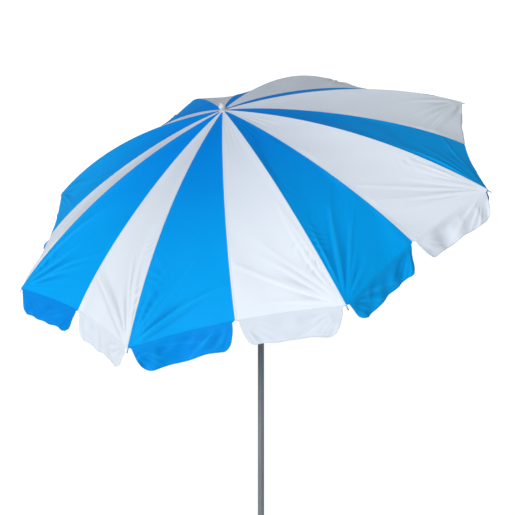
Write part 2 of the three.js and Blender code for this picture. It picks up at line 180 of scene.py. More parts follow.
ground = bmesh.new()
bmesh.ops.create_grid(ground, x_segments=8, y_segments=8, size=28)
set_on_stage(ground, "floor", lit_finish("pale_floor", (1, 1, 1, 1), 0.95, 0.22))
cove_shape = bmesh.new()
bmesh.ops.create_icosphere(cove_shape, subdivisions=5, radius=27.5)
bmesh.ops.reverse_faces(cove_shape, faces=cove_shape.faces)
cove = set_on_stage(cove_shape, "cove", lit_finish("white_cove", (1, 1, 1, 1), 1.2, 0.0))
cove.visible_shadow = False

world = bpy.data.worlds.new("air")
world.use_nodes = True
world.node_tree.nodes.clear()
bpy.context.scene.world = world
Socket.tree = world.node_tree
way = Socket.node("TexCoord", out="Generated")
softest = (0.06, -0.16, -0.22)
lean = Socket.node("VectorMath", {"operation": "DOT_PRODUCT"}, {0: way, 1: softest}, out="Value")
air = Socket.node("Background", {}, {"Color": (0.97, 0.985, 1.0, 1), "Strength": 0.44 + lean})
Socket.node("OutputWorld", {}, {"Surface": air})

lamp = bpy.data.lights.new("front_lamp", "SUN")
lamp.energy = 1.85
lamp.angle = math.radians(20)
lamp.color = (1.0, 0.99, 0.97)
lamp_stand = bpy.data.objects.new("front_lamp", lamp)
lamp_stand.rotation_euler = Vector((-0.58, -0.79, 0.19)).to_track_quat("Z", "Y").to_euler()
bpy.context.scene.collection.objects.link(lamp_stand)

# ---- lower pole ----
# A steel tube 25 mm across, painted grey. Its upper end is rolled in a little
# round the middle pole, and its lower end is pushed over the spike's spigot.


def turned(outline, foot=(0, 0, 0), along=(0, 0, 1), sides=48):
    """A shape spun from (radius, height) points about a line."""
    shape = bmesh.new()
    corners = [shape.verts.new((radius, 0, height)) for radius, height in outline]
    edges = [shape.edges.new(pair) for pair in zip(corners, corners[1:])]
    bmesh.ops.spin(
        shape,
        geom=corners + edges,
        cent=(0, 0, 0),
        axis=(0, 0, 1),
        angle=2 * math.pi,
        steps=sides,
        use_merge=True,
    )
    bmesh.ops.remove_doubles(shape, verts=shape.verts, dist=2e-6)
    bmesh.ops.recalc_face_normals(shape, faces=shape.faces)
    turn = Vector((0, 0, 1)).rotation_difference(Vector(along)).to_matrix().to_4x4()
    bmesh.ops.transform(shape, matrix=Matrix.Translation(foot) @ turn, verts=shape.verts)
    return shape


def fit(shape, name, finish, slot, body, *instead_of, crease=35):
    """Puts a finished shape on its body, in place of its CAD nodes."""
    mesh = bpy.data.meshes.new(name)
    shape.to_mesh(mesh)
    shape.free()
    mesh.polygons.foreach_set("use_smooth", [True] * len(mesh.polygons))
    mesh.set_sharp_from_angle(angle=math.radians(crease))
    mesh.materials.append(finish)
    piece = bpy.data.objects.new(name, mesh)
    bpy.context.scene.collection.objects.link(piece)
    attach(piece, body)
    if instead_of:
        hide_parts(*instead_of)
    return piece


def painted_grey():
    """Grey enamel: an even, slightly pebbled coat with rubbed streaks along the tube."""
    finish = new_finish("grey_enamel")
    place = Socket.node("TexCoord", out="Object")
    drawn_out = Socket.node("Mapping", {}, {"Vector": place, "Scale": (90, 90, 3)})
    streaks = Socket.node("TexNoise", {}, {"Vector": drawn_out, "Scale": 1.0, "Detail": 5.0})
    streaks = streaks.held(0.5, 0.78)
    pebbles = Socket.node("TexNoise", {}, {"Vector": place, "Scale": 900.0, "Detail": 2.0})
    clouds = Socket.node("TexNoise", {}, {"Vector": place, "Scale": 14.0, "Detail": 3.0})
    coat = mixed(clouds, (0.170, 0.187, 0.200, 1), (0.225, 0.243, 0.258, 1))
    coat = mixed(streaks * 0.35, coat, (0.34, 0.36, 0.37, 1))
    grain = pebbles + streaks * 0.6
    bump = Socket.node("Bump", {}, {"Strength": 0.12, "Distance": 0.0004, "Height": grain})
    shader = Socket.node(
        "BsdfPrincipled",
        {},
        {
            "Base Color": coat,
            "Roughness": 0.30 + 0.12 * clouds + 0.10 * streaks,
            "Specular IOR Level": 0.10,
            "Coat Weight": 0.04,
            "Coat Roughness": 0.25,
            "Normal": bump,
        },
    )
    Socket.node("OutputMaterial", {}, {"Surface": shader})
    return finish


grey_enamel = painted_grey()
foot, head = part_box("lower_pole")
tube_radius, tube_wall = 0.0125, 0.0012
pole_shape = turned(
    [
        (tube_radius - tube_wall, foot.z),
        (tube_radius - 0.0002, foot.z),
        (tube_radius, foot.z + 0.0004),
        (tube_radius, foot.z + 0.30),
        (tube_radius, head.z - 0.006),
        (tube_radius - 0.0001, head.z - 0.0015),
        (tube_radius - 0.0007, head.z),
        (tube_radius - tube_wall, head.z),
        (tube_radius - tube_wall, foot.z),
    ],
    sides=64,
)
fit(pole_shape, "pole_lower", grey_enamel, "grey_paint", "lower_pole", "lower_pole")

# ---- ground spike ----
# A moulded point pushed into the lower pole. Four flutes make it bite in the
# sand, and a collar under the tube takes the weight.


grain_scale = 1040.0


def moulded(name, low, high, rough):
    """Moulded plastic: a fine spark-eroded grain, with handling marks a shade off."""
    finish = new_finish(name)
    place = Socket.node("TexCoord", out="Object")
    marks = Socket.node("TexNoise", {}, {"Vector": place, "Scale": 38.0, "Detail": 5.0}).held(0.45, 0.75)
    pits = Socket.node("TexVoronoi", {"feature": "SMOOTH_F1"}, {"Vector": place, "Scale": grain_scale})
    shader = Socket.node(
        "BsdfPrincipled",
        {},
        {
            "Base Color": mixed(marks, low, high),
            "Roughness": rough + 0.14 * marks,
            "Normal": Socket.node("Bump", {}, {"Strength": 0.16, "Distance": 0.0003, "Height": pits}),
        },
    )
    Socket.node("OutputMaterial", {}, {"Surface": shader})
    return finish


black_moulding = moulded("black_moulding", (0.016, 0.017, 0.019, 1), (0.034, 0.036, 0.040, 1), 0.42)
spike_foot, spike_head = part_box("ground_spike")
shoulder = spike_foot.z + 0.120
spike = turned(
    [
        (0, spike_foot.z),
        (0.0018, spike_foot.z + 0.0004),
        (0.003, spike_foot.z + 0.0025),
        (0.0095, spike_foot.z + 0.070),
        (0.0122, spike_foot.z + 0.096),
        (0.0125, spike_foot.z + 0.100),
        (0.0125, shoulder - 0.0006),
        (0.0119, shoulder),
        (0.0110, shoulder),
        (0.0110, spike_head.z - 0.001),
        (0.0100, spike_head.z),
        (0, spike_head.z),
    ],
    sides=64,
)
for corner in spike.verts:
    if 0.004 < corner.co.z - spike_foot.z < 0.098:
        around = math.atan2(corner.co.y, corner.co.x)
        bite = 1 - 0.16 * max(0.0, math.cos(4 * around)) ** 2
        corner.co.x *= bite
        corner.co.y *= bite
fit(spike, "spike", black_moulding, "dark_plastic", "lower_pole", "ground_spike")

# ---- clamp collar and thumb screw ----
# The collar is moulded round the top of the lower pole. Its boss holds a nut,
# and the winged screw through it presses on the middle pole.


sharp_angle = math.radians(34)
flat_angle = math.radians(1.5)
doubles_gap = 1e-6


def eased(node, width, segments=2):
    """A merged copy of a CAD node with its sharp edges rounded off."""
    shape = bmesh.new()
    shape.from_mesh(frame["nodes"][node].data)
    bmesh.ops.remove_doubles(shape, verts=shape.verts, dist=doubles_gap)
    bmesh.ops.dissolve_limit(shape, angle_limit=flat_angle, verts=shape.verts, edges=shape.edges)
    sharp = [e for e in shape.edges if e.is_manifold and e.calc_face_angle(0.0) > sharp_angle]
    bmesh.ops.bevel(
        shape,
        geom=sharp,
        offset=width,
        affect="EDGES",
        segments=segments,
        profile=0.5,
        material=-1,
        clamp_overlap=True,
    )
    return shape


fit(eased("clamp_collar", 0.0007), "collar", black_moulding, "dark_plastic", "lower_pole", "clamp_collar")
fit(eased("thumb_screw", 0.0006), "screw", black_moulding, "dark_plastic", "thumb_screw", "thumb_screw")

# ---- middle pole and the fork of the tilt joint ----
# A thinner tube that slides in the lower pole. A moulded fork is pressed on
# its end, and its two cheeks hold the tongue of the upper pole.
foot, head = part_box("middle_pole")
slim_radius, slim_wall = 0.011, 0.0012
slim = [
    (slim_radius - slim_wall, foot.z),
    (slim_radius - 0.0004, foot.z),
    (slim_radius, foot.z + 0.0005),
    (slim_radius, foot.z + 0.25),
    (slim_radius, head.z - 0.0005),
    (slim_radius - 0.0004, head.z),
    (slim_radius - slim_wall, head.z),
    (slim_radius - slim_wall, foot.z),
]
fit(turned(slim, sides=64), "pole_middle", grey_enamel, "grey_paint", "middle_pole", "middle_pole")
fit(eased("tilt_fork", 0.0008), "fork", black_moulding, "dark_plastic", "middle_pole", "tilt_fork")

# ---- tilt pin and its button ----
# A plated pin joins fork and tongue. The knob on its end holds the lock, and
# the button in the knob frees it.


def plated(name, low, high, rough):
    """Bright zinc plate: faint crystals, and dull smears where hands have been."""
    finish = new_finish(name)
    place = Socket.node("TexCoord", out="Object")
    crystals = Socket.node("TexVoronoi", {}, {"Vector": place, "Scale": 260.0}, out="Color")
    smears = Socket.node("TexNoise", {}, {"Vector": place, "Scale": 60.0, "Detail": 4.0}).held(0.4, 0.7)
    shader = Socket.node(
        "BsdfPrincipled",
        {},
        {
            "Base Color": mixed(smears, low, high),
            "Metallic": 0.9,
            "Roughness": rough + 0.12 * smears,
            "Normal": Socket.node("Bump", {}, {"Strength": 0.08, "Distance": 0.0002, "Height": crystals}),
        },
    )
    Socket.node("OutputMaterial", {}, {"Surface": shader})
    return finish


zinc = plated("zinc_plate", (0.52, 0.54, 0.56, 1), (0.66, 0.67, 0.68, 1), 0.26)
fit(eased("tilt_pin", 0.0005), "pin", zinc, "bright_steel", "tilt_pin", "tilt_pin")
fit(eased("tilt_button", 0.0004), "button", black_moulding, "dark_plastic", "tilt_button", "tilt_button")

# ---- upper pole and its tongue ----
# The same slim tube, leaning with the cover. A slot near the runner lets the
# spring catch through, and the moulded tongue is pressed on its lower end.
joints = {joint["name"]: joint for joint in frame["joints"]}
axle = Vector(joints["canopy_tilt"]["pos_m"])
upward = -Vector(joints["canopy_fold"]["axis"]).normalized()
cover_top = axle + upward * 0.532
leaning_tube = eased("upper_pole", 0.0002, segments=1)
fit(leaning_tube, "pole_upper", grey_enamel, "grey_paint", "upper_pole", "upper_pole")
fit(eased("tilt_tongue", 0.0008), "tongue", black_moulding, "dark_plastic", "upper_pole", "tilt_tongue")

# ---- crown, wire ring, washer and finial ----
# A white moulded crown caps the pole. The ribs hang in its slots on a ring of
# wire, and the finial screws down through a washer that holds the cover.
white_moulding = moulded("white_moulding", (0.66, 0.68, 0.70, 1), (0.76, 0.77, 0.78, 1), 0.36)
fit(eased("crown", 0.0006), "crown_body", white_moulding, "white_plastic", "upper_pole", "crown")


def wire_ring(radius, depth):
    """A closed ring of wire round the upper pole, depth below the top of the cover."""
    ring = bmesh.new()
    bmesh.ops.create_circle(ring, segments=12, radius=0.001)
    upright = Matrix.Rotation(math.radians(90), 3, "X")
    bmesh.ops.rotate(ring, verts=ring.verts, cent=(0, 0, 0), matrix=upright)
    bmesh.ops.translate(ring, verts=ring.verts, vec=(radius, 0, 0))
    bmesh.ops.spin(
        ring,
        geom=ring.verts[:] + ring.edges[:],
        cent=(0, 0, 0),
        axis=(0, 0, 1),
        angle=2 * math.pi,
        steps=72,
        use_merge=True,
    )
    bmesh.ops.remove_doubles(ring, verts=ring.verts, dist=1e-6)
    bmesh.ops.recalc_face_normals(ring, faces=ring.faces)
    turn = Vector((0, 0, 1)).rotation_difference(upward).to_matrix().to_4x4()
    place = Matrix.Translation(cover_top - upward * depth)
    bmesh.ops.transform(ring, matrix=place @ turn, verts=ring.verts)
    return ring


crown_pin, crown_pin_depth = 0.0171, 0.014
fit(wire_ring(crown_pin, crown_pin_depth), "crown_ring", zinc, "bright_steel", "upper_pole", "crown_wire")
fit(eased("top_washer", 0.0004), "washer", white_moulding, "white_plastic", "upper_pole", "top_washer")

ball, neck, knob, finial_foot = 0.013, 0.008, 0.006, 0.0021
start, end = -math.acos(neck / ball), math.acos(knob / ball)
ball_middle = finial_foot + 0.002 - ball * math.sin(start)
outline = [
    (0, -0.0107),
    (0.004, -0.0107),
    (0.004, finial_foot),
    (0.0090, finial_foot),
    (0.0095, finial_foot + 0.0005),
    (0.0095, finial_foot + 0.0014),
    (0.0090, finial_foot + 0.0020),
]
for step in range(0, 25):
    turn = start + (end - start) * step / 24
    outline.append((ball * math.cos(turn), ball_middle + ball * math.sin(turn)))
knob_foot = outline[-1][1]
outline += [
    (knob + 0.0001, knob_foot + 0.0006),
    (knob, knob_foot + 0.0022),
    (knob - 0.0008, knob_foot + 0.0036),
    (knob - 0.0024, knob_foot + 0.0043),
    (0, knob_foot + 0.0045),
]
fit(
    turned(outline, cover_top, upward, sides=56),
    "finial_ball",
    white_moulding,
    "white_plastic",
    "upper_pole",
    "finial",
    crease=50,
)

# ---- runner, its wire ring and the spring catch ----
# The runner slides on the upper pole. The struts turn on its ring of wire, and
# the sprung steel catch below it holds the cover open.
runner_pin, runner_pin_depth = 0.0190, 0.1754
fit(eased("runner", 0.0006), "runner_body", white_moulding, "white_plastic", "runner", "runner")
fit(wire_ring(runner_pin, runner_pin_depth), "runner_ring", zinc, "bright_steel", "runner", "runner_wire")
fit(eased("runner_catch", 0.0003), "catch", zinc, "bright_steel", "runner_catch", "runner_catch")

# ---- ribs, their tips and the struts ----
# Eight ribs of painted spring-steel rod bow out from the crown. Each has a
# flattened eye on the ring, a folded clip for its strut and a capped tip.
spread, fall_of_rib, bow = 0.950, 0.359, 0.0665
chord = math.hypot(spread, fall_of_rib)


def ridge(share):
    """Radius and height of the cover over a rib, from its top at 0 to its corner at 1."""
    rise = 4 * bow * share * (1 - share)
    return spread * share + rise * fall_of_rib / chord, rise * spread / chord - fall_of_rib * share


def ridge_normal(share):
    """The way the cover faces over a rib, as (radius, height)."""
    climb = 4 * bow * (1 - 2 * share)
    normal = Vector((fall_of_rib - climb * spread / chord, spread + climb * fall_of_rib / chord))
    return normal.normalized()


def under_ridge(share, depth):
    """A point depth below the cover's top, as (radius, height)."""
    radius, height = ridge(share)
    normal = ridge_normal(share)
    return Vector((radius - normal.x * depth, height - normal.y * depth))


def drawn(path, radius, sides=14):
    """A round rod extruded along a path of (radius, height) points in a rib's own plane."""
    rod = bmesh.new()
    points = [Vector((point[0], 0, point[1])) for point in path]
    ways = [(b - a).normalized() for a, b in zip(points, points[1:])]
    ways = [ways[0]] + [(a + b).normalized() for a, b in zip(ways, ways[1:])] + [ways[-1]]
    bmesh.ops.create_circle(rod, segments=sides, radius=radius, cap_ends=True)
    turn = Vector((0, 0, 1)).rotation_difference(ways[0]).to_matrix().to_4x4()
    bmesh.ops.transform(rod, matrix=Matrix.Translation(points[0]) @ turn, verts=rod.verts)
    ends = rod.faces[:]
    for step in range(1, len(points)):
        grown = bmesh.ops.extrude_face_region(rod, geom=ends)["geom"]
        if step > 1:
            bmesh.ops.delete(rod, geom=ends, context="FACES_ONLY")
        corners = [part for part in grown if isinstance(part, bmesh.types.BMVert)]
        ends = [part for part in grown if isinstance(part, bmesh.types.BMFace)]
        swing = ways[step - 1].rotation_difference(ways[step]).to_matrix().to_4x4()
        move = Matrix.Translation(points[step]) @ swing @ Matrix.Translation(-points[step - 1])
        bmesh.ops.transform(rod, matrix=move, verts=corners)
    bmesh.ops.recalc_face_normals(rod, faces=rod.faces)
    return rod


def joined(*shapes):
    """Several closed shapes in one piece."""
    whole = shapes[0]
    for shape in shapes[1:]:
        scrap = bpy.data.meshes.new("scrap")
        shape.to_mesh(scrap)
        shape.free()
        whole.from_mesh(scrap)
        bpy.data.meshes.remove(scrap)
    return whole


def rib_place(number):
    """From a rib's own frame (out, across, up from the cover's top) to where it stands."""
    across = Vector(joints[f"rib_{number}_turn"]["axis"]).normalized()
    out = across.cross(upward)
    place = Matrix((out, across, upward)).transposed().to_4x4()
    place.translation = cover_top
    return place


def eye(radius, thickness, hole, at, sides=28):
    """A flat ring with its hole across the rib."""
    half = thickness / 2
    outline = [
        (hole, -half),
        (radius - 0.0003, -half),
        (radius, -half + 0.0003),
        (radius, half - 0.0003),
        (radius - 0.0003, half),
        (hole, half),
        (hole, -half),
    ]
    return turned(outline, (at[0], 0, at[1]), (0, 1, 0), sides)


def bar(lengthwise, width, depth, at, lean, ease):
    """A small block turned to lie along the rib or strut, its edges rounded."""
    block = bmesh.new()
    bmesh.ops.create_cube(block, size=1)
    bmesh.ops.scale(block, vec=(lengthwise, width, depth), verts=block.verts)
    bmesh.ops.bevel(
        block,
        geom=block.edges[:],
        offset=ease,
        affect="EDGES",
        segments=2,
        profile=0.5,
        material=-1,
        clamp_overlap=True,
    )
    move = Matrix.Translation((at[0], 0, at[1])) @ Matrix.Rotation(lean, 4, "Y")
    bmesh.ops.transform(block, matrix=move, verts=block.verts)
    return block


rib_steel = plated("rib_enamel", (0.50, 0.52, 0.54, 1), (0.62, 0.64, 0.66, 1), 0.34)
rib_radius, rib_depth = 0.0020, 0.0038
strut_reach = 0.221
strut_share = 0.2
for _ in range(30):
    strut_share += (strut_reach - ridge(strut_share)[0]) / spread
strut_head = under_ridge(strut_share, rib_depth + 0.007)
strut_foot = Vector((runner_pin, -runner_pin_depth))
corner_way = Vector((ridge_normal(1).y, -ridge_normal(1).x))
rib_end = under_ridge(1, rib_depth) + corner_way * 0.001
rib_root = Vector((crown_pin, -crown_pin_depth))
clip_lean = math.atan2(ridge_normal(strut_share).x, ridge_normal(strut_share).y)
clip_middle = under_ridge(strut_share, rib_depth)
strut_way = (strut_foot - strut_head).normalized()
strut_lean = -math.atan2(strut_way.y, strut_way.x)
for number in range(1, 9):
    place = rib_place(number)
    path = [rib_root + (under_ridge(0.03, rib_depth) - rib_root) * 0.25]
    path += [under_ridge(share, rib_depth) for share in np.linspace(0.05, 1, 40)] + [rib_end]
    cheeks = [eye(0.0035, 0.0014, 0.0013, strut_head) for _ in range(2)]
    for cheek, side in zip(cheeks, (-1, 1)):
        bmesh.ops.translate(cheek, verts=cheek.verts, vec=(0, side * 0.0030, 0))
    straps = [
        bar(0.0070, 0.0014, 0.0070, (clip_middle + strut_head) / 2, clip_lean, 0.0003) for _ in range(2)
    ]
    for strap, side in zip(straps, (-1, 1)):
        bmesh.ops.translate(strap, verts=strap.verts, vec=(0, side * 0.0030, 0))
    rivet = turned(
        [(0, -0.0047), (0.0012, -0.0047), (0.0017, -0.0042), (0.0017, -0.0037), (0.0011, -0.0037),
         (0.0011, 0.0037), (0.0017, 0.0037), (0.0017, 0.0042), (0.0012, 0.0047), (0, 0.0047)],
        (strut_head[0], 0, strut_head[1]), (0, 1, 0), 16)
    saddle = bar(0.0085, 0.0074, 0.0046, clip_middle, clip_lean, 0.0008)
    rib = joined(
        drawn(path, rib_radius),
        eye(0.0035, 0.0036, 0.0015, rib_root),
        bar(0.014, 0.0034, 0.0044, rib_root + (path[0] - rib_root).normalized() * 0.0085,
            -math.atan2((path[0] - rib_root).y, (path[0] - rib_root).x), 0.0008),
        saddle, rivet, *cheeks, *straps,
    )
    bmesh.ops.transform(rib, matrix=place, verts=rib.verts)
    fit(rib, f"rod_{number}", rib_steel, "rib_steel", f"rib_{number}", f"rib_{number}")

    cap_foot = rib_end + corner_way * 0.0003
    cap = turned(
        [(0, 0), (0.0022, 0), (0.0026, 0.0005), (0.0026, 0.0050), (0.0019, 0.0058), (0.0019, 0.0120),
         (0.0023, 0.0132), (0.0026, 0.0146), (0.0024, 0.0160), (0.0016, 0.0168), (0, 0.0170)],
        (cap_foot[0], 0, cap_foot[1]), (corner_way[0], 0, corner_way[1]), 24)
    bmesh.ops.transform(cap, matrix=place, verts=cap.verts)
    fit(cap, f"ferrule_{number}", zinc, "bright_steel", f"rib_{number}", f"rib_tip_{number}")

    strut_end = strut_foot - strut_way * 0.0015
    strut = joined(
        drawn(
            [strut_head + strut_way * 0.002, (strut_head + strut_end) / 2, strut_end - strut_way * 0.009],
            0.00175,
        ),
        eye(0.0035, 0.0038, 0.0013, strut_head),
        bar(0.016, 0.0026, 0.0052, strut_head + strut_way * 0.0085, strut_lean, 0.0009),
        bar(0.0140, 0.0038, 0.0068, strut_end - strut_way * 0.007, strut_lean, 0.0014),
    )
    bmesh.ops.transform(strut, matrix=place, verts=strut.verts)
    fit(strut, f"stretcher_{number}", rib_steel, "rib_steel", f"strut_{number}", f"strut_{number}")

# ---- cover ----
# Sixteen gores of thin coated nylon, blue and white by turns, felled together
# along the ribs and half way between. Each gore ends in its own hemmed flap.


weave_pitch, stitch_pitch = 0.0011, 0.0032


def cloth(name, deep, bright, shade, thread_and_highlight, edge):
    """Coated nylon: a fine taffeta weave, felled seams, hem stitches and faint water marks, with painted
    shade towards the top, on the flaps and in fold valleys, and a painted highlight on fold crests.
    """
    finish = new_finish(name)
    cut = Socket.node("UVMap", {"uv_map": "cut"})
    sewn = Socket.node("UVMap", {"uv_map": "sewn"})
    painted_shading = Socket.node("UVMap", {"uv_map": "painted_shading"})
    u, v = (Socket.node("SeparateXYZ", {}, {0: cut}, out=side) for side in (0, 1))
    seam, hem = (Socket.node("SeparateXYZ", {}, {0: sewn}, out=side) for side in (0, 1))
    crease, painted_flap_shade = (Socket.node("SeparateXYZ", {}, {0: painted_shading}, out=side) for side in (0, 1))
    place = Socket.node("TexCoord", out="Object")
    warp = u.waves(weave_pitch)
    weft = v.waves(weave_pitch)
    clouds = Socket.node("TexNoise", {}, {"Vector": place, "Scale": 5.0, "Detail": 4.0})
    drawn_out = Socket.node("Mapping", {}, {"Vector": cut, "Scale": (700, 40, 1)})
    slubs = Socket.node("TexNoise", {}, {"Vector": drawn_out, "Scale": 1.0, "Detail": 2.0})
    # The flap mask: the hanging flaps are painted darker than the roof, as painted shade.
    tails = 1 - hem.held(0.30, 0.40)
    # The mix from the deep to the bright colour is painted shade: darker towards the top of each gore and
    # on the flaps. Only the clouds are the cloth's own uneven tone.
    tone_and_painted_shade = v.held(-0.15, 1.05) * 0.9 + (clouds - 0.5) * 0.12 - tails * painted_flap_shade
    base = mixed(tone_and_painted_shade.held(0.0, 0.95), deep, bright)
    # Fold valleys are mixed towards the shade colour as painted shade, and fold crests towards the thread
    # colour as a painted highlight.
    base = mixed((0.5 - crease).held(0.03, 0.45) * 0.40, base, shade)
    base = mixed((crease - 0.5).held(0.05, 0.50) * 0.40, base, thread_and_highlight)
    base = mixed((slubs - 0.5).held(0.0, 0.4) * 0.10, base, shade)
    fold = (1 - seam.held(0.0050, 0.0066)) * (seam.held(0.0036, 0.0050))
    base = mixed(fold * 0.35, base, shade)
    stitch = (1 - abs(seam - 0.0046).held(0.0003, 0.0006)) * v.waves(stitch_pitch).held(-0.3, 0.1)
    hem_stitch = (1 - abs(hem - 0.0090).held(0.0003, 0.0006)) * u.waves(stitch_pitch).held(-0.3, 0.1)
    piping = 1 - seam.held(0.0010, 0.0016)
    base = mixed(piping * edge, base, (0.80, 0.84, 0.88, 1))
    base = mixed(stitch + hem_stitch, base, thread_and_highlight)
    bump = Socket.node(
        "Bump",
        {},
        {
            "Strength": 0.35,
            "Distance": 0.0004,
            "Height": warp * weft * 0.25 + slubs * 0.4 + (stitch + hem_stitch) * 0.8 - fold * 0.8,
        },
    )
    shader = Socket.node(
        "BsdfPrincipled",
        {},
        {
            "Base Color": base,
            "Roughness": 0.50 + 0.12 * clouds,
            "Specular IOR Level": 0.06,
            "Normal": bump,
        },
    )
    Socket.node("OutputMaterial", {}, {"Surface": shader})
    return finish


blue_nylon = cloth(
    "blue_nylon",
    deep=(0.0, 0.220, 0.76, 1),
    bright=(0.0, 0.385, 0.94, 1),
    shade=(0.0, 0.12, 0.50, 1),
    thread_and_highlight=(0.01, 0.45, 0.93, 1),
    edge=0.25,
)
white_nylon = cloth(
    "white_nylon",
    deep=(0.630, 0.700, 0.800, 1),
    bright=(0.815, 0.890, 0.985, 1),
    shade=(0.42, 0.48, 0.56, 1),
    thread_and_highlight=(0.86, 0.90, 0.94, 1),
    edge=0.0,
)

half_angle = math.pi / 8
hollow, cloth_sag, top_hole = 0.04, 0.020, 0.006
flap_depth, flap_notch, flap_taper, flap_corner = 0.088, 0.011, 0.030, 0.024
columns, roof_rows, flap_rows = 64, 165, 24


def smooth(low, high, value):
    """0 below low, 1 above high, and smooth between, for whole arrays."""
    t = np.clip((value - low) / (high - low), 0, 1)
    return t * t * (3 - 2 * t)


def swell(rng, x, y, length, waves=7):
    """A soft, seeded ripple from a few crossing waves about one length long."""
    total = np.zeros_like(x)
    for _ in range(waves):
        way, phase = rng.uniform(0, math.pi), rng.uniform(0, 2 * math.pi)
        size = length * rng.uniform(0.75, 1.4)
        total += np.cos(2 * math.pi * (x * math.cos(way) + y * math.sin(way)) / size + phase)
    return total / math.sqrt(waves)


def tip_folds(rng, aside, along, reach, count=9):
    """Folds that fan out from the rib's corner, in metres from the seam and from the edge."""
    away = np.hypot(aside, along)
    angle = np.arctan2(aside, along)
    height = np.zeros_like(away)
    for fold in range(count):
        way = math.radians(6 + 68 * (fold + rng.uniform(-0.4, 0.4)) / (count - 1))
        length = reach * rng.uniform(0.45, 1.15)
        width = 0.0028 + (0.016 + 0.020 * rng.uniform(0, 1)) * away
        bend = rng.uniform(-0.9, 0.5)
        offset = (angle - way - bend * away) * away / width
        crest = np.exp(-np.abs(offset) ** 1.2)
        size = 0.0070 * rng.uniform(0.30, 1.0)
        height += size * crest * smooth(0.010, 0.080, away) * (1 - smooth(0.30 * length, length, away))
    return height


